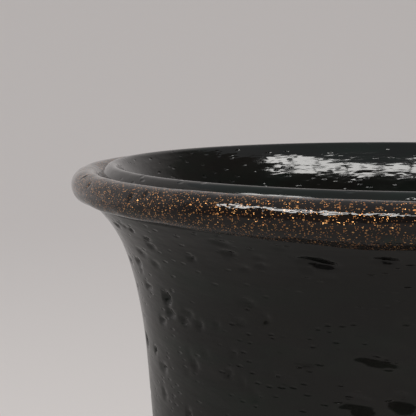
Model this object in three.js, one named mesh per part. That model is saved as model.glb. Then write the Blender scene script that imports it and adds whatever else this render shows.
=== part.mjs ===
// A footed bell-shaped vase in dark glass, in the manner of a bell krater without handles.
// Units are millimetres, +Z is up, and the origin is the middle of the ring that the foot stands on.
//
// The vase is four gathers of hot glass, joined one after another and each a solid of its own:
//   bowl      the blown bell, its lip folded back to double thickness, with a seat for the wrap
//   lip_wrap  one trail of speckled glass laid round the outside of the lip
//   knop      the short solid collar between the bowl and the foot
//   foot      the spread disc, a little hollow underneath, that stands on a ground ring
//
// Every piece is a solid of revolution. A profile is a closed list of points (radius, height),
// and neighbouring pieces share the outline of the joint between them.

import * as THREE from "three";

// Driving dimensions
const RIM_RADIUS = 125; // outermost reach of the wrap
const HEIGHT = 255; // foot ring to the crest of the lip
const BEAD_RADIUS = 5.6; // the wrap's round section
const FOOT_RADIUS = 66;
const FOOT_HEIGHT = 27;
const KNOP_HEIGHT = 17;
const WALL = 5.5; // plain wall, below the folded lip
const BOWL_BOTTOM_THICKNESS = 13; // glass under the middle of the bowl

// The bell's outline. Depths are measured down from the middle of the bead.
const BELL_RADIUS = 102.6; // the bell's wall, carried up to the bead without its flare
const BELL_TAPER = 0.065; // radius lost for each millimetre of depth
const FLARE_OUTSIDE = 22; // how far the outside turns out at the bead
const FLARE_INSIDE = 7.6; // the inside turns out less, because the fold thickens the lip
const FLARE_DEPTH = 17; // depth in which the flare falls to about a third
const SHOULDER_DEPTH = 148; // where the wall begins to round in to the bottom

// The lip
const CREST_RISE = 6.9; // crest above the middle of the bead
const CREST_RADIUS = 110.3; // the crest, from the axis
const CREST_ROUND = 2.6; // fire-polished rounding
const CREST_INNER_ANGLE = 150; // where the inside of the bell runs into the rounding
const CREST_OUTER_ANGLE = 50; // where the rounding falls away to the wrap
const SEAT_TOP_ANGLE = 144; // the seat holds the bead from here, round its inner side,
const SEAT_BOTTOM_ANGLE = 252; // to here, all angles round the middle of the bead
const LIP_BLEND = 1.2; // height in which the lip's roundings run into the wall

// The joints with the knop and the foot
const BOWL_JOINT_RADIUS = 23;
const KNOP_RADIUS = 30;
const KNOP_ROUND = 5; // rounding of the knop's widest part
const KNOP_BULGE_ANGLE = 75; // how far that rounding reaches above and below the middle
const KNOP_NECK = 2.2; // height of the short neck at each of the knop's joints
const KNOP_NECK_FLARE = 1; // how far a neck widens over that height
const FOOT_JOINT_RADIUS = 20;

// The foot
const FOOT_EDGE = 7; // thickness of the rim
const FOOT_EDGE_ANGLE = 70; // where the rounded rim runs into the sweep up to the knop
const GROUND_RING = 7; // width of the ring that touches the table
const FOOT_HOLLOW = 3; // rise of the underside inside that ring
const HOLLOW_SLOPE = 6; // width in which the underside comes down to the ring
const PONTIL_RADIUS = 13; // ground and polished scar of the pontil rod
const PONTIL_DEPTH = 0.8;

// Facets
const SEGMENTS = 48; // round the axis
const WALL_STEPS = 10; // down each side of the bell
const WALL_CROWDING = 1.8; // above 1, the steps crowd together up in the flare
const BOTTOM_STEPS = 6; // round each side of its bottom
const CREST_STEPS = 5;
const BEAD_STEP_ANGLE = 18; // between the points of the wrap's section
const BULGE_STEPS = 6;
const EDGE_STEPS = 5;
const SWEEP_STEPS = 7;
const PONTIL_STEPS = 2;

// Heights and radii that follow from the driving dimensions
const BEAD_HEIGHT = HEIGHT - CREST_RISE;
const BEAD_CENTRE = RIM_RADIUS - BEAD_RADIUS;
const BOWL_BASE = FOOT_HEIGHT + KNOP_HEIGHT;
const SHOULDER_HEIGHT = BEAD_HEIGHT - SHOULDER_DEPTH;

const MATERIALS = {
  darkGlass: new THREE.MeshStandardMaterial({ color: 0x12180f, roughness: 0.1, metalness: 0 }),
  speckledGlass: new THREE.MeshStandardMaterial({ color: 0x3a2a1a, roughness: 0.12, metalness: 0.1 }),
};

const radians = THREE.MathUtils.degToRad;

function point(radius, height) {
  return new THREE.Vector2(radius, height);
}

// Points along a round stretch of a profile, from one angle to another in degrees, ends included.
function arc(centreRadius, centreHeight, radius, from, to, steps) {
  const points = [];
  for (let i = 0; i <= steps; i++) {
    const angle = radians(from + ((to - from) * i) / steps);
    points.push(point(centreRadius + radius * Math.cos(angle), centreHeight + radius * Math.sin(angle)));
  }
  return points;
}

// The bell's radius at a depth below the bead: a tapering wall that turns out in an exponential flare.
function bellRadius(depth, flare, wall) {
  return BELL_RADIUS - wall - BELL_TAPER * depth + flare * Math.exp(-depth / FLARE_DEPTH);
}

// One side of the bell's wall, from its top down to the shoulder.
function wallSide(topDepth, flare, wall) {
  const points = [];
  for (let i = 0; i <= WALL_STEPS; i++) {
    const share = (i / WALL_STEPS) ** WALL_CROWDING;
    const depth = topDepth + (SHOULDER_DEPTH - topDepth) * share;
    points.push(point(bellRadius(depth, flare, wall), BEAD_HEIGHT - depth));
  }
  return points;
}

// One side of the rounded bottom: an ellipse that takes over from the wall at the shoulder
// and turns in until it reaches its end point.
function bottomSide(flare, wall, endRadius, endHeight) {
  const wallAtEnd = bellRadius(BEAD_HEIGHT - endHeight, flare, wall);
  const endAngle = Math.acos(endRadius / wallAtEnd);
  const drop = (SHOULDER_HEIGHT - endHeight) / Math.sin(endAngle);
  const points = [];
  for (let i = 1; i < BOTTOM_STEPS; i++) {
    const angle = (endAngle * i) / BOTTOM_STEPS;
    const height = SHOULDER_HEIGHT - drop * Math.sin(angle);
    points.push(point(bellRadius(BEAD_HEIGHT - height, flare, wall) * Math.cos(angle), height));
  }
  points.push(point(endRadius, endHeight));
  return points;
}

// A stretch of the bead's round section.
function beadArc(from, to) {
  const steps = Math.round((to - from) / BEAD_STEP_ANGLE);
  return arc(BEAD_CENTRE, BEAD_HEIGHT, BEAD_RADIUS, from, to, steps);
}

// The joint between the lip and the wrap: both pieces follow this arc.
function seatArc() {
  return beadArc(SEAT_TOP_ANGLE, SEAT_BOTTOM_ANGLE);
}

// The bell, from the middle of its underside out and up the outside, over the lip, and down the inside.
function bowlProfile() {
  const seat = seatArc();
  const seatBottom = seat[seat.length - 1];
  const crest = arc(
    CREST_RADIUS,
    HEIGHT - CREST_ROUND,
    CREST_ROUND,
    CREST_INNER_ANGLE,
    CREST_OUTER_ANGLE,
    CREST_STEPS,
  );
  const outerTopDepth = BEAD_HEIGHT - seatBottom.y + LIP_BLEND;
  const innerTopDepth = BEAD_HEIGHT - crest[0].y + LIP_BLEND;

  const outerWall = wallSide(outerTopDepth, FLARE_OUTSIDE, 0);
  const outerBottom = bottomSide(FLARE_OUTSIDE, 0, BOWL_JOINT_RADIUS, BOWL_BASE);
  const innerWall = wallSide(innerTopDepth, FLARE_INSIDE, WALL);
  const innerBottom = bottomSide(FLARE_INSIDE, WALL, 0, BOWL_BASE + BOWL_BOTTOM_THICKNESS);

  return [
    point(0, BOWL_BASE),
    ...outerBottom.reverse(),
    ...outerWall.reverse(),
    ...seat.reverse(),
    ...crest.reverse(),
    ...innerWall,
    ...innerBottom,
  ];
}

// The wrap is a full round trail. Its inner side repeats the seat's own points.
function wrapProfile() {
  const seat = seatArc();
  const open = beadArc(SEAT_BOTTOM_ANGLE - 360, SEAT_TOP_ANGLE);
  return [...open.slice(0, -1), ...seat.slice(0, -1), open[0].clone()];
}

// A squeezed collar: it swells from the foot's joint to a round bulge and back in to the bowl's joint.
function knopProfile() {
  const middle = FOOT_HEIGHT + KNOP_HEIGHT / 2;
  const bulgeCentre = KNOP_RADIUS - KNOP_ROUND;
  const bulge = arc(bulgeCentre, middle, KNOP_ROUND, -KNOP_BULGE_ANGLE, KNOP_BULGE_ANGLE, BULGE_STEPS);
  return [
    point(0, FOOT_HEIGHT),
    point(FOOT_JOINT_RADIUS, FOOT_HEIGHT),
    point(FOOT_JOINT_RADIUS + KNOP_NECK_FLARE, FOOT_HEIGHT + KNOP_NECK),
    ...bulge,
    point(BOWL_JOINT_RADIUS + KNOP_NECK_FLARE, BOWL_BASE - KNOP_NECK),
    point(BOWL_JOINT_RADIUS, BOWL_BASE),
    point(0, BOWL_BASE),
  ];
}

// The shallow dish where the pontil rod was ground off, from its middle out.
function pontilScar() {
  const points = [];
  for (let i = 0; i <= PONTIL_STEPS; i++) {
    const share = i / PONTIL_STEPS;
    points.push(point(PONTIL_RADIUS * share, FOOT_HOLLOW + PONTIL_DEPTH * (1 - share ** 2)));
  }
  return points;
}

// The foot: a shallow hollow with the pontil scar, the ground ring, a round edge,
// and a top that sweeps up to the knop in a quarter of an ellipse.
function footProfile() {
  const edgeCentre = FOOT_RADIUS - FOOT_EDGE / 2;
  const ringInside = edgeCentre - GROUND_RING;
  const edge = arc(edgeCentre, FOOT_EDGE / 2, FOOT_EDGE / 2, -90, FOOT_EDGE_ANGLE, EDGE_STEPS);
  const sweepFrom = edge[edge.length - 1];
  const sweep = [];
  for (let i = 1; i <= SWEEP_STEPS; i++) {
    const angle = (Math.PI / 2) * (i / SWEEP_STEPS);
    const radius = FOOT_JOINT_RADIUS + (sweepFrom.x - FOOT_JOINT_RADIUS) * (1 - Math.sin(angle));
    const height = sweepFrom.y + (FOOT_HEIGHT - sweepFrom.y) * (1 - Math.cos(angle));
    sweep.push(point(radius, height));
  }
  return [
    ...pontilScar(),
    point(ringInside - HOLLOW_SLOPE, FOOT_HOLLOW),
    point(ringInside, 0),
    ...edge,
    ...sweep,
    point(0, FOOT_HEIGHT),
  ];
}

// Revolves a profile round +Z. The profile runs from the underside outwards and back in over the top.
function turned(name, profile, material) {
  const geometry = new THREE.LatheGeometry(profile, SEGMENTS);
  geometry.rotateX(Math.PI / 2);
  const mesh = new THREE.Mesh(geometry, material);
  mesh.name = name;
  return mesh;
}

const vase = new THREE.Group();
vase.add(turned("foot", footProfile(), MATERIALS.darkGlass));
vase.add(turned("knop", knopProfile(), MATERIALS.darkGlass));
vase.add(turned("bowl", bowlProfile(), MATERIALS.darkGlass));
vase.add(turned("lip_wrap", wrapProfile(), MATERIALS.speckledGlass));

export default vase;
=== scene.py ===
"""A footed bell-shaped vase in near-black glass, its lip wrapped with a bead of copper-speckled glass."""

import math
import random

import bmesh
import bpy
import numpy as np
from bpy.props import FloatProperty, FloatVectorProperty, IntProperty, PointerProperty
from mathutils import Matrix, Vector


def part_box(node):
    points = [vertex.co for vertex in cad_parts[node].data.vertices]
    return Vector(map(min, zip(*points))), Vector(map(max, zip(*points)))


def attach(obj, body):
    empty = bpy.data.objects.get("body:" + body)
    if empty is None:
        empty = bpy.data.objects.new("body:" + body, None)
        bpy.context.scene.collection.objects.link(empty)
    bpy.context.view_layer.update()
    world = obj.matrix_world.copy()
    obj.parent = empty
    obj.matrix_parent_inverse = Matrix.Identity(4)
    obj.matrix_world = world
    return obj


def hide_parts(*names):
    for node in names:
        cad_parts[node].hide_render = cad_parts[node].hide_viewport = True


bl_info = {
    "name": "Wrapped Glass Vase",
    "version": (1, 0, 0),
    "blender": (4, 5, 0),
    "location": "3D View > Sidebar > Vase",
    "description": "Models a dark bell-shaped glass vase with a speckled wrap round its lip",
    "category": "Add Mesh",
}

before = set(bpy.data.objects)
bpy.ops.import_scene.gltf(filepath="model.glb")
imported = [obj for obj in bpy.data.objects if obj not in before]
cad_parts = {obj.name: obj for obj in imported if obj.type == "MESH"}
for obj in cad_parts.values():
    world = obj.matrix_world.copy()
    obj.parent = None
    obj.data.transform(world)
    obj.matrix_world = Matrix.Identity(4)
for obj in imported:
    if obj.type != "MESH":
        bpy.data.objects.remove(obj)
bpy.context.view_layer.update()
BODY = "root"

# Sizes from the frame, in metres
RIM_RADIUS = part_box("lip_wrap")[1].x
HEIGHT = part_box("bowl")[1].z
BEAD_RADIUS = (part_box("lip_wrap")[1].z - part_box("lip_wrap")[0].z) / 2
BEAD_HEIGHT = (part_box("lip_wrap")[1].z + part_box("lip_wrap")[0].z) / 2
BEAD_CENTRE = RIM_RADIUS - BEAD_RADIUS
BOWL_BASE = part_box("bowl")[0].z
FOOT_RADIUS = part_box("foot")[1].x
FOOT_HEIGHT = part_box("foot")[1].z
KNOP_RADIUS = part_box("knop")[1].x
KNOP_HEIGHT = BOWL_BASE - FOOT_HEIGHT

# The bell's outline, with depths measured down from the middle of the bead
BELL_RADIUS = 0.1026  # the bell's wall, carried up to the bead without its flare
BELL_TAPER = 0.065  # radius lost for each metre of depth
FLARE_OUTSIDE = 0.022  # how far the outside turns out at the bead
FLARE_INSIDE = 0.0076  # the inside turns out less, because the fold thickens the lip
FLARE_DEPTH = 0.017  # depth in which the flare falls to about a third
WALL = 0.0055
SHOULDER_DEPTH = 0.148  # where the wall begins to round in to the bottom
BOTTOM_THICKNESS = 0.013  # glass under the middle of the bowl
LIP_BLEND = 0.0012  # height in which the lip's roundings run into the wall

# The lip, with angles in degrees round the middle of the crest's rounding and of the bead
CREST_RADIUS = 0.1103
CREST_ROUND = 0.0026
CREST_ANGLES = (150, 50)
SEAT_ANGLES = (144, 252)

# The knop and the foot
BOWL_JOINT_RADIUS = 0.023
FOOT_JOINT_RADIUS = 0.020
KNOP_ROUND = 0.005
KNOP_BULGE_ANGLES = (-75, 75)  # where the knop's rounding begins and ends, in degrees
KNOP_NECK = 0.0022  # height of the short neck at each of the knop's joints
KNOP_NECK_FLARE = 0.001
FOOT_EDGE = 0.007
FOOT_EDGE_ANGLES = (-90, 70)
GROUND_RING = 0.007
FOOT_HOLLOW = 0.003
HOLLOW_SLOPE = 0.006
PONTIL_RADIUS = 0.013
PONTIL_DEPTH = 0.0008

# Steps along each stretch of a profile. Crowding above 1 gathers them up in the flare.
SEAT_STEPS = 6
CREST_STEPS = 8
OUTSIDE_STEPS = 112
OUTSIDE_CROWDING = 1.8
INSIDE_STEPS = 24
INSIDE_CROWDING = 1.5
OUTER_BOTTOM_STEPS = 10
INNER_BOTTOM_STEPS = 8
BULGE_STEPS = 16
FOOT_EDGE_STEPS = 14
FOOT_SWEEP_STEPS = 24
PONTIL_STEPS = 4
BEAD_SECTION_STEPS = 40

# Steps round the axis
BOWL_STEPS = 540
WRAP_STEPS = 900
FOOT_STEPS = 192
MERGE_DISTANCE = 1e-6

# Open bubbles in the outside of the bell: azimuth from the front in degrees, then depth below
# the bead, length, height and hollow in millimetres
NOTABLE_PITS = [
    (-12.5, 13.3, 11.0, 2.6, 1.8),
    (-3.0, 11.5, 6.0, 1.8, 1.3),
    (-47.8, 33.2, 4.5, 4.2, 1.6),
    (-7.2, 31.5, 9.0, 9.0, 0.6),
    (-2.4, 34.8, 9.5, 5.0, 0.5),
    (-16.9, 43.1, 15.0, 6.0, 0.6),
    (-21.2, 51.0, 10.0, 5.0, 0.5),
    (-4.7, 41.7, 15.0, 2.2, 1.4),
    (-7.9, 55.5, 12.0, 6.0, 1.6),
    (-0.7, 53.5, 9.0, 6.0, 1.6),
    (-67.0, 55.6, 6.0, 4.0, 1.6),
]
MILLIMETRES = 1000  # in a metre

# The small pits, in millimetres
SMALL_PITS = 620
PIT_SEED = 7
PIT_TOP = 9  # depth below the bead of the highest
PIT_SPREAD = 150  # how much deeper the lowest lie
PIT_GATHERING = 1.3  # above 1, more of them lie near the lip
PIT_SHORTEST = 2.5
PIT_EXTRA_LENGTH = 6.5  # how much longer the longest are
PIT_SHORTNESS = 2  # above 1, more of them are short
PIT_HEIGHTS = (1.5, 2.6)
PIT_HOLLOWS = (0.25, 1.2)

PIT_TILT = 9.0  # degrees by which a pit's length falls to the right
PIT_REACH = 1.6  # where a pit's slope ends, as a squared distance that is 1 at its ellipse's edge
PIT_STEEPNESS = 1.6
AXIS_RADIUS = 1e-6  # stands in for the radius of a point on the axis
PLAIN_DEPTH = 0.0085  # the bell is left plain this near the bead
PLAIN_BOTTOM = 0.03  # and from this far below the shoulder

# The slow waves in the bell: strength, millimetres of depth for a radian of phase, lobes round
# the bell, and how far the phase wanders in radians
BELL_WAVES = [(1.0, 9.0, 0, 2.0), (0.7, 15.0, 5, 0.0), (0.6, 21.0, 11, 0.0)]
WAVE_WANDER = (3, 0.6)  # wanders round the bell, and their phase
WAVE_SLANT = 14  # millimetres by which the waves fall on the right of the bell and rise on the left
RIPPLE_FADE = 0.012  # depth in which the ripple comes in below the lip

# The wrap's unevenness: strength, waves round the lip and phase
WRAP_WAVES = [(0.2, 7, 1), (0.17, 17, 0), (0.13, 31, 2)]
WRAP_MEAN = 0.5  # mean share of the full slump
SLUMP_SHARES = (0.4, 0.6)  # of the slump: all round the section, and more of it underneath
SEAT_FADE = 20  # degrees of the section in which the slump comes in beside the seat
# Pinholes: azimuth and place round the section in degrees, then size in millimetres
PINHOLES = [(-40.5, 25, 1.3), (-37.5, 40, 1.1), (-61.0, 60, 1.0), (-55.0, 35, 0.9)]
PINHOLE_DEPTH = 0.0008
PINHOLE_STEEPNESS = 2
SKIRT = 0.0025  # how far the wrap's underside sags down the flare, on the right
SKIRT_HUG = 0.85  # how far it moves in for each metre down, so that it lies on the flare
# Azimuths where the sag begins and ends, and the degrees in which it comes in and goes out
SKIRT_START = -30
SKIRT_RISE = 25
SKIRT_END = 150
SKIRT_FALL = 40


def deselect():
    for other in bpy.context.selected_objects:
        other.select_set(False)


def arc(centre_radius, centre_height, radius, start, end, steps):
    """Profile points along a round stretch, from one angle to another in degrees."""
    points = []
    for i in range(steps + 1):
        angle = math.radians(start + (end - start) * i / steps)
        points.append((centre_radius + radius * math.cos(angle), centre_height + radius * math.sin(angle)))
    return points


def bell_radius(depth, flare, wall):
    """The bell's radius at a depth below the bead: a tapering wall with an exponential flare."""
    return BELL_RADIUS - wall - BELL_TAPER * depth + flare * math.exp(-depth / FLARE_DEPTH)


def wall_side(top_depth, flare, wall, steps, crowding):
    """One side of the bell's wall, from its top down to the shoulder."""
    points = []
    for i in range(steps + 1):
        depth = top_depth + (SHOULDER_DEPTH - top_depth) * (i / steps) ** crowding
        points.append((bell_radius(depth, flare, wall), BEAD_HEIGHT - depth))
    return points


def bottom_side(flare, wall, end_radius, end_height, steps):
    """One side of the rounded bottom, an ellipse that turns in from the shoulder to its end point."""
    shoulder = BEAD_HEIGHT - SHOULDER_DEPTH
    end_angle = math.acos(end_radius / bell_radius(BEAD_HEIGHT - end_height, flare, wall))
    drop = (shoulder - end_height) / math.sin(end_angle)
    points = []
    for i in range(1, steps):
        angle = end_angle * i / steps
        height = shoulder - drop * math.sin(angle)
        points.append((bell_radius(BEAD_HEIGHT - height, flare, wall) * math.cos(angle), height))
    return points + [(end_radius, end_height)]


def bowl_profile():
    """The bell, from the middle of its underside up the outside, over the lip and down the inside."""
    seat = arc(BEAD_CENTRE, BEAD_HEIGHT, BEAD_RADIUS, *SEAT_ANGLES, SEAT_STEPS)
    crest = arc(CREST_RADIUS, HEIGHT - CREST_ROUND, CREST_ROUND, *CREST_ANGLES, CREST_STEPS)
    outside_top = BEAD_HEIGHT - seat[-1][1] + LIP_BLEND
    inside_top = BEAD_HEIGHT - crest[0][1] + LIP_BLEND
    outside = wall_side(outside_top, FLARE_OUTSIDE, 0, OUTSIDE_STEPS, OUTSIDE_CROWDING)
    inside = wall_side(inside_top, FLARE_INSIDE, WALL, INSIDE_STEPS, INSIDE_CROWDING)
    outer_bottom = bottom_side(FLARE_OUTSIDE, 0, BOWL_JOINT_RADIUS, BOWL_BASE, OUTER_BOTTOM_STEPS)
    inner_bottom = bottom_side(FLARE_INSIDE, WALL, 0, BOWL_BASE + BOTTOM_THICKNESS, INNER_BOTTOM_STEPS)
    up_outside = outer_bottom[::-1] + outside[::-1] + seat[::-1]
    return [(0, BOWL_BASE)] + up_outside + crest[::-1] + inside + inner_bottom


def knop_profile():
    """The collar, from the foot's joint out to its round bulge and back in to the bowl's joint."""
    middle = FOOT_HEIGHT + KNOP_HEIGHT / 2
    bulge = arc(KNOP_RADIUS - KNOP_ROUND, middle, KNOP_ROUND, *KNOP_BULGE_ANGLES, BULGE_STEPS)
    low_neck = [
        (FOOT_JOINT_RADIUS, FOOT_HEIGHT),
        (FOOT_JOINT_RADIUS + KNOP_NECK_FLARE, FOOT_HEIGHT + KNOP_NECK),
    ]
    high_neck = [
        (BOWL_JOINT_RADIUS + KNOP_NECK_FLARE, BOWL_BASE - KNOP_NECK),
        (BOWL_JOINT_RADIUS, BOWL_BASE),
    ]
    return [(0, FOOT_HEIGHT)] + low_neck + bulge + high_neck + [(0, BOWL_BASE)]


def pontil_scar():
    """The shallow dish where the pontil rod was ground off, from its middle out."""
    shares = [i / PONTIL_STEPS for i in range(PONTIL_STEPS + 1)]
    return [(PONTIL_RADIUS * share, FOOT_HOLLOW + PONTIL_DEPTH * (1 - share * share)) for share in shares]


def foot_profile():
    """The foot, from the middle of its underside over the ground ring and round its edge to the knop."""
    edge_centre = FOOT_RADIUS - FOOT_EDGE / 2
    ring_inside = edge_centre - GROUND_RING
    hollow = [(ring_inside - HOLLOW_SLOPE, FOOT_HOLLOW), (ring_inside, 0)]
    edge = arc(edge_centre, FOOT_EDGE / 2, FOOT_EDGE / 2, *FOOT_EDGE_ANGLES, FOOT_EDGE_STEPS)
    start_radius, start_height = edge[-1]
    sweep = []
    for i in range(1, FOOT_SWEEP_STEPS + 1):
        angle = math.pi / 2 * i / FOOT_SWEEP_STEPS
        radius = FOOT_JOINT_RADIUS + (start_radius - FOOT_JOINT_RADIUS) * (1 - math.sin(angle))
        sweep.append((radius, start_height + (FOOT_HEIGHT - start_height) * (1 - math.cos(angle))))
    return pontil_scar() + hollow + edge + sweep + [(0, FOOT_HEIGHT)]


def turned(name, profile, steps, ring=False):
    """Lays a circle's points along a profile and spins it round the axis. A ring's profile stays closed."""
    deselect()
    bpy.ops.mesh.primitive_circle_add(vertices=len(profile), enter_editmode=True)
    piece = bpy.context.object
    piece.name = name
    piece.data.name = name
    mesh = bmesh.from_edit_mesh(piece.data)
    mesh.verts.ensure_lookup_table()
    for vertex, (radius, height) in zip(mesh.verts, profile):
        vertex.co = (radius, 0, height)
    if not ring:
        first, last = mesh.verts[0], mesh.verts[len(profile) - 1]
        mesh.edges.remove(mesh.edges.get((first, last)))
    bmesh.update_edit_mesh(piece.data)
    bpy.ops.mesh.select_all(action="SELECT")
    bpy.ops.mesh.spin(steps=steps, angle=2 * math.pi, center=(0, 0, 0), axis=(0, 0, 1))
    bpy.ops.mesh.select_all(action="SELECT")
    bpy.ops.mesh.remove_doubles(threshold=MERGE_DISTANCE)
    bpy.ops.mesh.normals_make_consistent(inside=False)
    bpy.ops.object.mode_set(mode="OBJECT")
    bpy.ops.object.shade_smooth()
    return piece


def read_points(piece):
    points = np.zeros(len(piece.data.vertices) * 3)
    piece.data.vertices.foreach_get("co", points)
    return points.reshape(-1, 3)


def write_points(piece, points):
    piece.data.vertices.foreach_set("co", points.ravel())
    piece.data.update()


def azimuth(points):
    """Degrees round the axis, 0 at the front and rising to the right."""
    return np.degrees(np.arctan2(points[:, 0], -points[:, 1]))


def turn_between(angle, other):
    """The turn from one angle to another in degrees, the short way round."""
    return (angle - other + 180) % 360 - 180


def small_pits():
    """Seeds and short open bubbles at random over the whole bell, in the same terms as the notable pits."""
    rng = random.Random(PIT_SEED)
    pits = []
    for _ in range(SMALL_PITS):
        depth = PIT_TOP + PIT_SPREAD * rng.random() ** PIT_GATHERING
        length = PIT_SHORTEST + PIT_EXTRA_LENGTH * rng.random() ** PIT_SHORTNESS
        angle = rng.uniform(-180, 180)
        height = rng.uniform(*PIT_HEIGHTS)
        pits.append((angle, depth, length, height, rng.uniform(*PIT_HOLLOWS)))
    return pits


def pit_push(depth, around, radius):
    """How far the pits press in each point of the bell. A pit is a slanted ellipse with a soft edge."""
    tilt = math.radians(PIT_TILT)
    push = np.zeros(len(radius))
    for angle, down, length, height, hollow in NOTABLE_PITS + small_pits():
        across = np.radians(turn_between(around, angle)) * radius * MILLIMETRES
        below = depth * MILLIMETRES - down
        along = across * math.cos(tilt) + below * math.sin(tilt)
        aside = below * math.cos(tilt) - across * math.sin(tilt)
        share = (along / (length / 2)) ** 2 + (aside / (height / 2)) ** 2
        near = share < PIT_REACH
        pressed = hollow / MILLIMETRES * np.exp(-PIT_STEEPNESS * share[near] ** 2)
        push[near] = np.maximum(push[near], pressed)
    return push


def ripple_push(depth, around, ripple):
    """How far the slow waves press in each point of the bell, at most by the ripple."""
    turn = np.radians(around)
    slide = depth * MILLIMETRES - np.sin(turn) * WAVE_SLANT
    wanders, wander_phase = WAVE_WANDER
    swing = np.sin(wanders * turn + wander_phase)
    waves = np.zeros(len(turn))
    for strength, spacing, lobes, wander in BELL_WAVES:
        waves += strength * np.sin(slide / spacing + lobes * turn + wander * swing)
    full = sum(wave[0] for wave in BELL_WAVES)
    fade = np.clip((depth - PLAIN_DEPTH) / RIPPLE_FADE, 0, 1)
    return ripple * fade * (1 + waves / full) / 2


def hollow_out(points, ripple):
    """Presses the pits and a slow ripple into the outside of the bell."""
    radius = np.hypot(points[:, 0], points[:, 1])
    depth = BEAD_HEIGHT - points[:, 2]
    around = azimuth(points)
    middle_flare = (FLARE_OUTSIDE + FLARE_INSIDE) / 2 * np.exp(-depth / FLARE_DEPTH)
    middle = BELL_RADIUS - WALL / 2 - BELL_TAPER * depth + middle_flare
    outside = (radius > middle) & (depth > PLAIN_DEPTH) & (depth < SHOULDER_DEPTH + PLAIN_BOTTOM)
    push = pit_push(depth, around, radius) + ripple_push(depth, around, ripple)
    push[~outside] = 0
    scale = 1 - push / np.maximum(radius, AXIS_RADIUS)
    points[:, 0] *= scale
    points[:, 1] *= scale
    return points


def bead_press(angle, around, slump):
    """How far each point of the bead is pressed towards the middle of its section."""
    turn = np.radians(around)
    wobble = np.full(len(turn), WRAP_MEAN)
    for strength, lobes, phase in WRAP_WAVES:
        wobble += strength * np.sin(lobes * turn + phase)
    all_round, underneath = SLUMP_SHARES
    press = slump * wobble * (all_round + underneath * np.clip(-np.sin(np.radians(angle)), 0, 1))
    for where, place, size in PINHOLES:
        across = np.radians(turn_between(around, where)) * RIM_RADIUS * MILLIMETRES
        rise = np.radians(angle - place) * BEAD_RADIUS * MILLIMETRES
        distance = (across / size) ** 2 + (rise / size) ** 2
        press += PINHOLE_DEPTH * np.exp(-distance * PINHOLE_STEEPNESS)
    return press


def skirt_drop(angle, around):
    """How far each point of the bead sags down the flare."""
    underneath = np.clip(-np.sin(np.radians(angle)), 0, 1) ** 2
    coming_in = np.clip((around - SKIRT_START) / SKIRT_RISE, 0, 1)
    going_out = np.clip((SKIRT_END - around) / SKIRT_FALL, 0, 1)
    return SKIRT * underneath * (coming_in * going_out)


def shape_bead(points, slump):
    """Gives the trail its uneven, slightly flattened section, its pinholes and its sagging skirt."""
    radius = np.hypot(points[:, 0], points[:, 1])
    out = radius - BEAD_CENTRE
    up = points[:, 2] - BEAD_HEIGHT
    angle = np.degrees(np.arctan2(up, out))
    around = azimuth(points)
    seat_top, seat_bottom = SEAT_ANGLES
    above_seat_bottom = np.clip((angle - (seat_bottom - 360)) / SEAT_FADE, 0, 1)
    below_seat_top = np.clip((seat_top - angle) / SEAT_FADE, 0, 1)
    free = above_seat_bottom * below_seat_top
    keep = 1 - free * bead_press(angle, around, slump) / BEAD_RADIUS
    skirt = skirt_drop(angle, around)
    new_radius = BEAD_CENTRE + out * keep - SKIRT_HUG * skirt
    points[:, 2] = BEAD_HEIGHT + up * keep - skirt
    points[:, 0] *= new_radius / radius
    points[:, 1] *= new_radius / radius
    return points


# The dark glass, with patterns in cells per metre
GLASS_IOR = 1.52
STREAKS = 22.0
CLOUDS = 14.0
SEEDS = 260.0
SEED_SHARE = 0.2  # share of the cells that hold a seed
SEED_DEPTH = 0.0003
FINE_WAVES = 42.0
FINE_WAVE_DEPTH = 0.001

# The speckled glass
WRAP_CLOUDS = 40.0
WRAP_TINTS = 95.0
SKIN_WAVES = 130.0
SKIN_WAVE_DEPTH = 0.0006
# Layers of flecks: cells per metre, share of cells that hold one, its size in cells, and its stretch
FLECK_LAYERS = [(1050.0, 0.72, 0.26, 1.6), (1600.0, 0.62, 0.27, 1.2), (650.0, 0.4, 0.2, 2.0)]
FLECK_LEAST = 0.35  # added to a random share from 0 to 1, so that no fleck is too small to see
FLECK_TILT = 1.1  # how far a fleck is tipped out of the surface at random
FLECK_METAL = 0.75
COAT_IOR = 1.5


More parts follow.
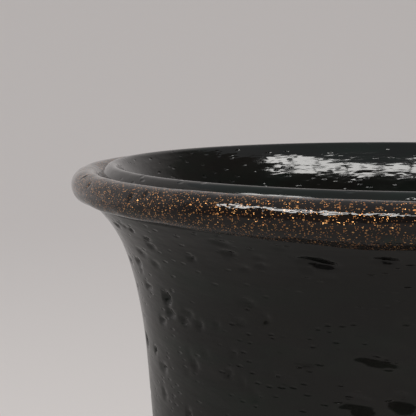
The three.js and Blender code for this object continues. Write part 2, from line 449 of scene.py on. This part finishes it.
class Nodes:
    """Adds and links the shader nodes of one material."""

    def __init__(self, tree):
        self.tree = tree

    def feed(self, node, **inputs):
        """Sets or links inputs, each by its name with _ for a space, or by its place as i0, i1 and so on."""
        for key, value in inputs.items():
            name = int(key[1:]) if key[1:].isdigit() else key.replace("_", " ")
            if isinstance(value, bpy.types.NodeSocket):
                self.tree.links.new(value, node.inputs[name])
            else:
                node.inputs[name].default_value = value

    def add(self, kind, settings=None, **inputs):
        node = self.tree.nodes.new("ShaderNode" + kind)
        for key, value in (settings or {}).items():
            setattr(node, key, value)
        self.feed(node, **inputs)
        return node

    def math(self, operation, first, second):
        return self.add("Math", {"operation": operation}, i0=first, i1=second).outputs[0]

    def vector(self, operation, first, **inputs):
        """The outputs of a vector operation: a vector in the first, or a number in the one named Value."""
        return self.add("VectorMath", {"operation": operation}, i0=first, **inputs).outputs

    def mix(self, factor, first, second):
        """Blends two colours, each another node's output or an (r, g, b)."""
        node = self.add("Mix", {"data_type": "RGBA"}, i0=factor)
        for place, colour in (("i6", first), ("i7", second)):
            linked = isinstance(colour, bpy.types.NodeSocket)
            self.feed(node, **{place: colour if linked else (*colour, 1)})
        return node.outputs[2]

    def ramp(self, value, low, high):
        """Rises from 0 to 1 as the value goes from low to high, and stays level beyond."""
        return self.add("MapRange", {"clamp": True}, Value=value, From_Min=low, From_Max=high).outputs[0]

    def spread(self, value, least, most):
        """Takes a value from 0 to 1 to the range from least to most."""
        return self.add("MapRange", Value=value, To_Min=least, To_Max=most).outputs[0]

    def stretched(self, squeeze):
        """Object coordinates tilted and squeezed in height, so that a pattern lies in long level streaks."""
        place = self.add("TexCoord").outputs["Object"]
        tilt = (0, math.radians(PIT_TILT), 0)
        return self.add("Mapping", Vector=place, Rotation=tilt, Scale=(1, 1, squeeze)).outputs[0]

    def noise(self, scale, squeeze, detail, roughness=0.5):
        vector = self.stretched(squeeze)
        return self.add("TexNoise", Vector=vector, Scale=scale, Detail=detail, Roughness=roughness).outputs[0]

    def cells(self, scale, squeeze):
        """The outputs of a pattern of random cells: the distance from a cell's middle, and its colour."""
        return self.add("TexVoronoi", Vector=self.stretched(squeeze), Scale=scale, Randomness=1.0).outputs


def new_material(name):
    material = bpy.data.materials.new(name)
    material.use_nodes = True
    material.node_tree.nodes.clear()
    nodes = Nodes(material.node_tree)
    shader = nodes.add("BsdfPrincipled")
    nodes.add("OutputMaterial", Surface=shader.outputs[0])
    return material, nodes, shader


def seeded_surface(nodes):
    """The normal of glass with fine waves in it and the rims of small seeds open at its surface."""
    seeds = nodes.cells(SEEDS, squeeze=2.8)
    chance = nodes.add("SeparateColor", Color=seeds["Color"]).outputs[0]
    chosen = nodes.math("GREATER_THAN", chance, 1 - SEED_SHARE)
    dent = nodes.math("MULTIPLY", nodes.ramp(seeds["Distance"], low=0.42, high=0.12), chosen)
    seeded = nodes.add("Bump", {"invert": True}, Strength=0.6, Distance=SEED_DEPTH, Height=dent).outputs[0]
    waves = nodes.noise(FINE_WAVES, squeeze=4, detail=3.0)
    return nodes.add("Bump", Strength=0.5, Distance=FINE_WAVE_DEPTH, Height=waves, Normal=seeded).outputs[0]


def dark_glass(colours):
    """Near-black bottle glass with green streaks and brown clouds deep in it."""
    material, nodes, shader = new_material("blown_dark_glass")
    streaks = nodes.noise(STREAKS, squeeze=5, detail=5.0, roughness=0.6)
    clouds = nodes.noise(CLOUDS, squeeze=1.6, detail=3.0)
    green = nodes.mix(nodes.ramp(streaks, low=0.45, high=0.75), colours.black, colours.green)
    nodes.feed(
        shader,
        Base_Color=nodes.mix(nodes.ramp(clouds, low=0.5, high=0.7), green, colours.brown),
        Roughness=nodes.spread(streaks, least=0.03, most=0.14),
        IOR=GLASS_IOR,
        Normal=seeded_surface(nodes),
    )
    return material


def wrap_ground(nodes, colours):
    """The glass between the flecks: black and brown, with a green tint low on the wrap."""
    clouds = nodes.noise(WRAP_CLOUDS, squeeze=2, detail=4.0, roughness=0.65)
    ground = nodes.mix(nodes.ramp(clouds, low=0.4, high=0.65), colours.wrap_black, colours.wrap_brown)
    tints = nodes.ramp(nodes.noise(WRAP_TINTS, squeeze=2, detail=2.0), low=0.55, high=0.7)
    height = nodes.add("SeparateXYZ", Vector=nodes.add("TexCoord").outputs["Object"]).outputs[2]
    underneath = nodes.ramp(height, low=BEAD_HEIGHT, high=BEAD_HEIGHT - BEAD_RADIUS)
    return nodes.mix(nodes.math("MULTIPLY", tints, underneath), ground, colours.wrap_green)


def fleck_layer(nodes, scale, chance, size, stretch):
    """One size of fleck: its mask, the random colour of each fleck's cell, and its random shade."""
    cells = nodes.cells(scale, squeeze=stretch)
    parts = nodes.add("SeparateColor", Color=cells["Color"]).outputs
    chosen = nodes.math("GREATER_THAN", parts[0], 1 - chance)
    reach = nodes.math("MULTIPLY", nodes.math("ADD", parts[1], FLECK_LEAST), size)
    mask = nodes.math("MULTIPLY", nodes.math("LESS_THAN", cells["Distance"], reach), chosen)
    return mask, cells["Color"], parts[2]


def fleck_normal(nodes, flecks, cell_colour):
    """The surface's normal, tipped at random on each fleck so that some of them catch the light."""
    normal = nodes.add("NewGeometry").outputs["Normal"]
    tilt = nodes.vector("SUBTRACT", cell_colour, i1=(0.5, 0.5, 0.5))[0]
    swing = nodes.vector("SCALE", tilt, Scale=FLECK_TILT)[0]
    tipped = nodes.vector("NORMALIZE", nodes.vector("ADD", normal, i1=swing)[0])[0]
    return nodes.add("Mix", {"data_type": "VECTOR"}, i0=flecks, i4=normal, i5=tipped).outputs[1]


def speckled_glass(colours):
    """Brown-black glass full of copper and gold flecks under a clear, fire-polished skin."""
    material, nodes, shader = new_material("copper_speckled_glass")
    colour = wrap_ground(nodes, colours)
    flecks = 0.0
    cell_colours = []
    for layer in FLECK_LAYERS:
        mask, cell_colour, shade = fleck_layer(nodes, *layer)
        colour = nodes.mix(mask, colour, nodes.mix(shade, colours.copper, colours.gold))
        flecks = nodes.math("MAXIMUM", flecks, mask)
        cell_colours.append(cell_colour)
    skin = nodes.noise(SKIN_WAVES, squeeze=3, detail=3.0)
    # Flecks of every layer are tipped by the first layer's cells
    nodes.feed(
        shader,
        Base_Color=colour,
        Metallic=nodes.math("MULTIPLY", flecks, FLECK_METAL),
        Roughness=nodes.spread(flecks, least=0.16, most=0.38),
        IOR=GLASS_IOR,
        Specular_IOR_Level=0.0,
        Normal=fleck_normal(nodes, flecks, cell_colours[0]),
        Coat_Weight=1.0,
        Coat_Roughness=0.015,
        Coat_IOR=COAT_IOR,
        Coat_Normal=nodes.add("Bump", Strength=0.6, Distance=SKIN_WAVE_DEPTH, Height=skin).outputs[0],
    )
    return material


# The stage, in metres
FLOOR_RADIUS = 1.7
SWEEP_RADIUS = 0.9
WALL_TOP = 2.6
BACKDROP_SWEEP_STEPS = 24
BACKDROP_STEPS = 96
BACKDROP_LIFT = 1.45  # how much paler the backdrop shows to the camera than its light on the vase
BACKDROP_GLOW = 0.235  # light added to the backdrop where the camera sees it
GLOW_TINT = (1.0, 0.95, 0.945)
SIDE_GLOW = 0.35  # light that the backdrop behind and to the left throws on the glass
SIDE_DIRECTION = (-0.6, 0.8, 0.0)  # from the vase towards the brightest of that light
SIDE_DISTANCES = (0.3, 1.6)  # how far that way it begins, and where it is full

# The windows, in a row seen from the vase, with angles in degrees
WINDOW_DISTANCE = 1.5
WINDOW_ARC = (-68, 86)  # azimuths that the row spans
WINDOW_ELEVATION = 41
WINDOW_HEIGHT = 0.23
WINDOW_GAP = 0.12  # share of each window's width taken by the mullion beside it
WINDOW_COLOUR = (1.0, 0.985, 0.96)
ROOM_COLOUR = (0.95, 0.97, 1.0)
ROOM_STRENGTH = 0.35

# The camera, as fitted to the photograph's outlines of the rim
CAMERA_DISTANCE = 0.3787
CAMERA_ELEVATION = 5.397
CAMERA_TURNS = (-11.439, -1.852, 0.717)  # yaw, pitch and roll off the line to the rim's middle
FOCAL_PIXELS = 1000
PICTURE_PIXELS = 416
SENSOR = 36.0
CLIP_START = 0.01


def backdrop_material(colour):
    """A matt wall, paler to the camera than to the glass, which sees it glow behind and to the left."""
    material, nodes, shader = new_material("backdrop")
    seen = nodes.add("LightPath").outputs["Is Camera Ray"]
    unseen = nodes.math("SUBTRACT", 1.0, seen)
    place = nodes.add("NewGeometry").outputs["Position"]
    reach = nodes.vector("DOT_PRODUCT", place, i1=SIDE_DIRECTION)["Value"]
    near, far = SIDE_DISTANCES
    beside = nodes.math("MULTIPLY", nodes.ramp(reach, low=near, high=far), SIDE_GLOW)
    glow_to_camera = nodes.math("MULTIPLY", seen, BACKDROP_GLOW)
    glow_to_glass = nodes.math("MULTIPLY", beside, unseen)
    nodes.feed(
        shader,
        Base_Color=nodes.mix(seen, colour, tuple(BACKDROP_LIFT * part for part in colour)),
        Emission_Color=(*GLOW_TINT, 1),
        Emission_Strength=nodes.math("ADD", glow_to_camera, glow_to_glass),
        Roughness=0.9,
        Specular_IOR_Level=0.1,
    )
    return material


def add_backdrop(colour):
    """A round floor that sweeps up into a wall on every side."""
    floor = [(0, 0), (FLOOR_RADIUS / 2, 0)]
    sweep = arc(FLOOR_RADIUS, SWEEP_RADIUS, SWEEP_RADIUS, -90, 0, BACKDROP_SWEEP_STEPS)
    wall_top = [(FLOOR_RADIUS + SWEEP_RADIUS, WALL_TOP)]
    backdrop = turned("backdrop", floor + sweep + wall_top, BACKDROP_STEPS)
    backdrop.data.materials.append(backdrop_material(colour))


def add_windows(count, strength):
    """A row of window panels round the front, with a mullion's gap between each two."""
    first, last = WINDOW_ARC
    share = (last - first) / count
    centre = Vector((0, 0, HEIGHT))
    rise = math.radians(WINDOW_ELEVATION)
    width = 2 * WINDOW_DISTANCE * math.cos(rise) * math.tan(math.radians(share / 2)) * (1 - WINDOW_GAP)
    for i in range(count):
        angle = math.radians(first + share * (i + 0.5))
        out = Vector((math.sin(angle) * math.cos(rise), -math.cos(angle) * math.cos(rise), math.sin(rise)))
        turn = out.to_track_quat("Z", "Y").to_euler()
        bpy.ops.object.light_add(type="AREA", location=centre + out * WINDOW_DISTANCE, rotation=turn)
        lamp = bpy.context.object
        lamp.name = f"window_{i + 1}"
        lamp.data.shape = "RECTANGLE"
        lamp.data.size = width
        lamp.data.size_y = WINDOW_HEIGHT
        lamp.data.energy = strength * math.pi * width * WINDOW_HEIGHT
        lamp.data.color = WINDOW_COLOUR
        lamp.visible_camera = False


def set_room_light():
    world = bpy.data.worlds.new("room")
    world.use_nodes = True
    background = world.node_tree.nodes["Background"]
    background.inputs["Color"].default_value = (*ROOM_COLOUR, 1)
    background.inputs["Strength"].default_value = ROOM_STRENGTH
    bpy.context.scene.world = world


def swung(first, second, degrees):
    """Two axes at right angles, swung in their own plane, the first towards the second."""
    angle = math.radians(degrees)
    return (
        math.cos(angle) * first + math.sin(angle) * second,
        math.cos(angle) * second - math.sin(angle) * first,
    )


def camera_axes():
    """The camera's place, and its right, up and forward directions."""
    rise = math.radians(CAMERA_ELEVATION)
    back = Vector((0, -math.cos(rise), math.sin(rise)))
    forward = -back
    right = Vector((1, 0, 0))
    up = right.cross(forward)
    yaw, pitch, roll = CAMERA_TURNS
    forward, right = swung(forward, right, yaw)
    forward, up = swung(forward, up, pitch)
    right, up = swung(right, up, roll)
    return back * CAMERA_DISTANCE + Vector((0, 0, BEAD_HEIGHT)), right, up, forward


def add_camera():
    place, right, up, forward = camera_axes()
    turn = Matrix((right, up, -forward)).transposed().to_euler()
    bpy.ops.object.camera_add(location=place, rotation=turn)
    camera = bpy.context.object
    camera.data.sensor_width = SENSOR
    camera.data.lens = SENSOR * FOCAL_PIXELS / PICTURE_PIXELS
    camera.data.clip_start = CLIP_START
    bpy.context.scene.camera = camera


class VaseColours(bpy.types.PropertyGroup):
    """Colours of the glass."""

    black: FloatVectorProperty(
        name="Glass",
        description="Main colour of the bell",
        subtype="COLOR",
        default=(0.0012, 0.0016, 0.0012),
    )
    green: FloatVectorProperty(
        name="Green streaks",
        description="Streaks in the bell",
        subtype="COLOR",
        default=(0.0015, 0.006, 0.0035),
    )
    brown: FloatVectorProperty(
        name="Brown clouds",
        description="Clouds in the bell",
        subtype="COLOR",
        default=(0.005, 0.004, 0.003),
    )
    wrap_black: FloatVectorProperty(
        name="Wrap",
        description="Dark ground of the wrap",
        subtype="COLOR",
        default=(0.004, 0.003, 0.0028),
    )
    wrap_brown: FloatVectorProperty(
        name="Wrap brown",
        description="Paler ground of the wrap",
        subtype="COLOR",
        default=(0.013, 0.008, 0.006),
    )
    wrap_green: FloatVectorProperty(
        name="Wrap green",
        description="Tint low on the wrap",
        subtype="COLOR",
        default=(0.006, 0.02, 0.012),
    )
    copper: FloatVectorProperty(
        name="Copper flecks",
        description="Darker flecks",
        subtype="COLOR",
        default=(0.46, 0.17, 0.055),
    )
    gold: FloatVectorProperty(
        name="Gold flecks",
        description="Paler flecks",
        subtype="COLOR",
        default=(0.72, 0.38, 0.14),
    )


class VaseSizes(bpy.types.PropertyGroup):
    """How uneven the blown glass is, and how the stage lights it."""

    ripple: FloatProperty(
        name="Ripple",
        description="Depth of the slow waves in the bell",
        unit="LENGTH",
        default=0.0007,
    )
    slump: FloatProperty(
        name="Slump",
        description="How far the wrap is flattened where it sagged",
        unit="LENGTH",
        default=0.0006,
    )
    windows: IntProperty(
        name="Windows",
        description="Window panels that light the vase",
        default=9,
        min=1,
    )
    window_strength: FloatProperty(
        name="Window strength",
        description="Brightness of each window panel",
        default=12.0,
    )
    backdrop: FloatVectorProperty(
        name="Backdrop",
        description="Colour of the floor and backdrop",
        subtype="COLOR",
        default=(0.34, 0.325, 0.315),
    )


def shared_dark_glass(colours):
    """The bowl, knop and foot are one glass, so the first of them makes it and the others take it."""
    return bpy.data.materials.get("blown_dark_glass") or dark_glass(colours)


def place_piece(piece, node, material):
    piece.data.materials.append(material)
    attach(piece, BODY)
    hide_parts(node)


class VASE_OT_stage(bpy.types.Operator):
    """Set up the camera, the pale backdrop and the windows"""

    bl_idname = "vase.stage"
    bl_label = "Stage"

    def execute(self, context):
        sizes = context.scene.vase_sizes
        add_camera()
        add_backdrop(sizes.backdrop)
        add_windows(sizes.windows, sizes.window_strength)
        set_room_light()
        context.scene.view_settings.view_transform = "Standard"
        return {"FINISHED"}


class VASE_OT_bowl(bpy.types.Operator):
    """Blow the bell with its folded lip, pits and ripples"""

    bl_idname = "vase.bowl"
    bl_label = "Bowl"

    def execute(self, context):
        bowl = turned("bell_bowl", bowl_profile(), BOWL_STEPS)
        write_points(bowl, hollow_out(read_points(bowl), context.scene.vase_sizes.ripple))
        place_piece(bowl, "bowl", shared_dark_glass(context.scene.vase_colours))
        return {"FINISHED"}


class VASE_OT_wrap(bpy.types.Operator):
    """Lay the speckled trail round the lip"""

    bl_idname = "vase.wrap"
    bl_label = "Lip wrap"

    def execute(self, context):
        section = arc(BEAD_CENTRE, BEAD_HEIGHT, BEAD_RADIUS, 0, 360, BEAD_SECTION_STEPS)[:-1]
        wrap = turned("speckled_wrap", section, WRAP_STEPS, ring=True)
        write_points(wrap, shape_bead(read_points(wrap), context.scene.vase_sizes.slump))
        place_piece(wrap, "lip_wrap", speckled_glass(context.scene.vase_colours))
        return {"FINISHED"}


class VASE_OT_stem(bpy.types.Operator):
    """Model the knop and the foot"""

    bl_idname = "vase.stem"
    bl_label = "Knop and foot"

    def execute(self, context):
        material = shared_dark_glass(context.scene.vase_colours)
        place_piece(turned("collar_knop", knop_profile(), FOOT_STEPS), "knop", material)
        place_piece(turned("spread_foot", foot_profile(), FOOT_STEPS), "foot", material)
        return {"FINISHED"}


class VASE_PT_panel(bpy.types.Panel):
    """Lists the vase's pieces and settings"""

    bl_idname = "VASE_PT_panel"
    bl_label = "Vase"
    bl_space_type = "VIEW_3D"
    bl_region_type = "UI"
    bl_category = "Vase"

    def draw(self, context):
        for operator in OPERATORS:
            self.layout.operator(operator.bl_idname)
        for group in (context.scene.vase_sizes, context.scene.vase_colours):
            for name in group.__annotations__:
                self.layout.prop(group, name)


OPERATORS = (VASE_OT_stage, VASE_OT_bowl, VASE_OT_wrap, VASE_OT_stem)
CLASSES = (VaseColours, VaseSizes, *OPERATORS, VASE_PT_panel)


def register():
    for cls in CLASSES:
        bpy.utils.register_class(cls)
    bpy.types.Scene.vase_colours = PointerProperty(type=VaseColours)
    bpy.types.Scene.vase_sizes = PointerProperty(type=VaseSizes)


def unregister():
    del bpy.types.Scene.vase_sizes
    del bpy.types.Scene.vase_colours
    for cls in reversed(CLASSES):
        bpy.utils.unregister_class(cls)


def main():
    register()
    bpy.ops.vase.stage()
    bpy.ops.vase.bowl()
    bpy.ops.vase.wrap()
    bpy.ops.vase.stem()


if __name__ == "__main__":
    main()
